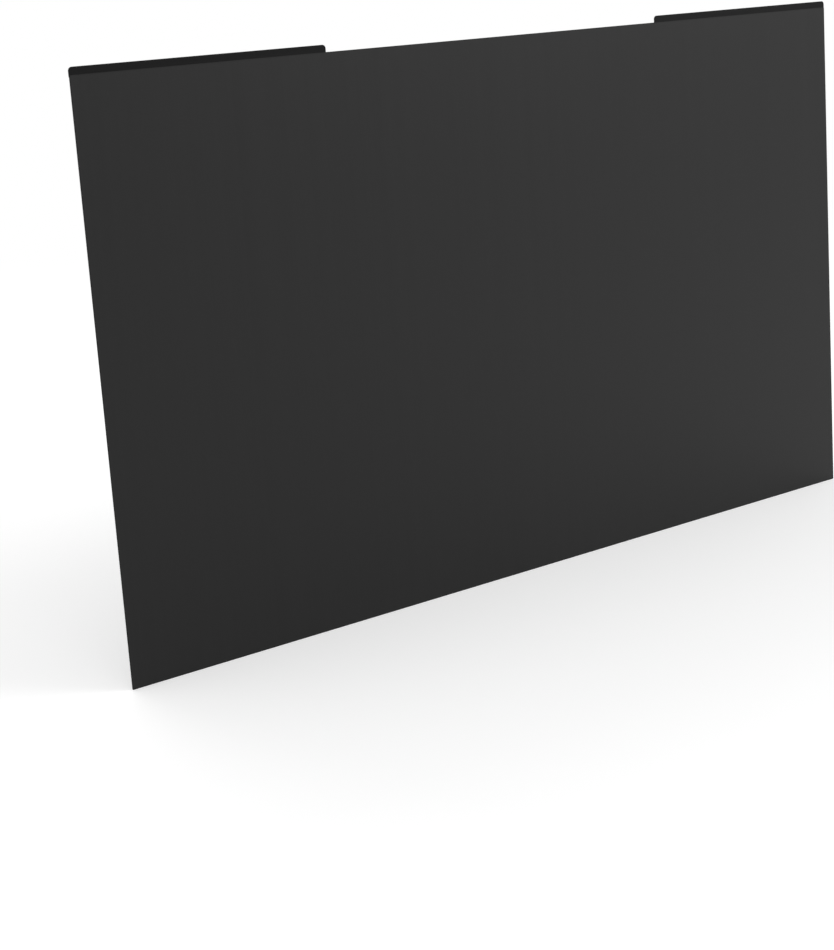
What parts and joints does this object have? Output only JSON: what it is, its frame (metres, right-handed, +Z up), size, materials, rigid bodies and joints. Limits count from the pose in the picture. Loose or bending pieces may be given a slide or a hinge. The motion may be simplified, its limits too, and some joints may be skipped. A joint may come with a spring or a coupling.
{
  "type": "monitor privacy filter",
  "caption": "Flat rectangular louvre film that darkens a wide display from the side, hung by slim magnet strips along its top edge with a gap between them for a camera.",
  "frame": {"origin": "mid-width, in the plane of the two magnet faces, level with the film's top edge", "axes": "+X to the viewer's right along the top edge, +Y away from the viewer out of the magnet faces, +Z up"},
  "size_m": [0.598, 0.0011, 0.3412],
  "materials": {
    "louvre_film": "satin charcoal louvre film, fine matt front",
    "magnet_strip": "matt black flexible magnet",
    "bond_tape": "black double-sided tape"
  },
  "bodies": {
    "root": {"filter_film": "louvre_film", "left_magnet_strip": "magnet_strip", "right_magnet_strip": "magnet_strip", "left_bond_tape": "bond_tape", "right_bond_tape": "bond_tape"}
  },
  "joints": []
}
